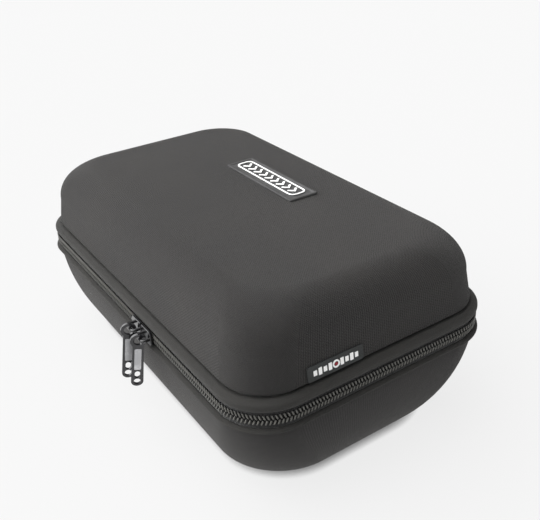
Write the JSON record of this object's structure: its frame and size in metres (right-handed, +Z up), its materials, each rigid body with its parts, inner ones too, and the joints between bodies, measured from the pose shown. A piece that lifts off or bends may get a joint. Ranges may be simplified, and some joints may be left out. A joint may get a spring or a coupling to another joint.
{
  "type": "zippered hard-shell carrying case",
  "caption": "Moulded clamshell carrying case in black woven fabric with a zip on three sides, fabric hinge, foam insert and mesh lid pocket.",
  "frame": {"origin": "centre of the flat bottom, on the surface that the case stands on", "axes": "+Z up, X along the long side, -Y towards the zip sliders at the front, +Y towards the fabric hinge"},
  "size_m": [0.25, 0.1641, 0.1063],
  "materials": {
    "outer_fabric": "fine woven polyester laminated to moulded EVA foam, matt",
    "band_fabric": "smooth woven polyester over a thin foam core, matt",
    "lining_fabric": "brushed tricot lining, matt",
    "zip_tape": "woven polyester zip tape, matt",
    "coil_nylon": "extruded nylon coil, satin",
    "binding_fabric": "folded bias tape, matt",
    "foam": "closed-cell foam, matt",
    "mesh_fabric": "knitted mesh, matt",
    "patch_rubber": "moulded soft rubber, satin",
    "motif_white": "raised white print, matt",
    "motif_red": "raised dark red print, matt",
    "plate_metal": "bright black nickel plate",
    "slider_metal": "glossy black coated zinc",
    "pull_metal": "glossy black nickel coated zinc"
  },
  "bodies": {
    "base": {"base_shell": "outer_fabric", "base_lining": "lining_fabric", "base_lip": "band_fabric", "base_zip_tape": "zip_tape", "base_zip_coil": "coil_nylon", "base_inner_binding": "binding_fabric", "foam_pad": "foam", "foam_insert": "foam", "hinge_strip_base": "outer_fabric", "zip_end_tab_left": "band_fabric", "zip_end_tab_right": "band_fabric"},
    "lid": {"lid_shell": "outer_fabric", "lid_lining": "lining_fabric", "lid_seam_welt": "binding_fabric", "lid_band": "band_fabric", "lid_zip_tape": "zip_tape", "lid_zip_coil": "coil_nylon", "lid_inner_binding": "binding_fabric", "mesh_pocket": "mesh_fabric", "pocket_binding": "binding_fabric", "hinge_strip_lid": "outer_fabric", "top_patch": "patch_rubber", "top_patch_motif": "motif_white", "side_label": "patch_rubber", "side_label_motif": "motif_white", "side_label_dot": "motif_red"},
    "slider_left": {"slider_left": "slider_metal"},
    "slider_right": {"slider_right": "slider_metal"},
    "pull_left": {"pull_tab_left": "pull_metal", "pull_plate_left": "plate_metal"},
    "pull_right": {"pull_tab_right": "pull_metal", "pull_plate_right": "plate_metal"}
  },
  "joints": [
    {"name": "lid_hinge", "type": "hinge", "parent": "base", "child": "lid", "pos_m": [0, 0.07685, 0.0579], "axis": [-1, 0, 0], "range_deg": [0, 180]},
    {"name": "slider_left_travel", "type": "slide", "parent": "base", "child": "slider_left", "axis": [-1, 0, 0], "range_m": [0, 0.108]},
    {"name": "slider_right_travel", "type": "slide", "parent": "base", "child": "slider_right", "axis": [1, 0, 0], "range_m": [0, 0.058]},
    {"name": "pull_left_swing", "type": "hinge", "parent": "slider_left", "child": "pull_left", "pos_m": [0.019, -0.0805, 0.0579], "axis": [-1, 0, 0], "range_deg": [-6, 120]},
    {"name": "pull_right_swing", "type": "hinge", "parent": "slider_right", "child": "pull_right", "pos_m": [0.0306, -0.0805, 0.0579], "axis": [-1, 0, 0], "range_deg": [-6, 120]}
  ]
}
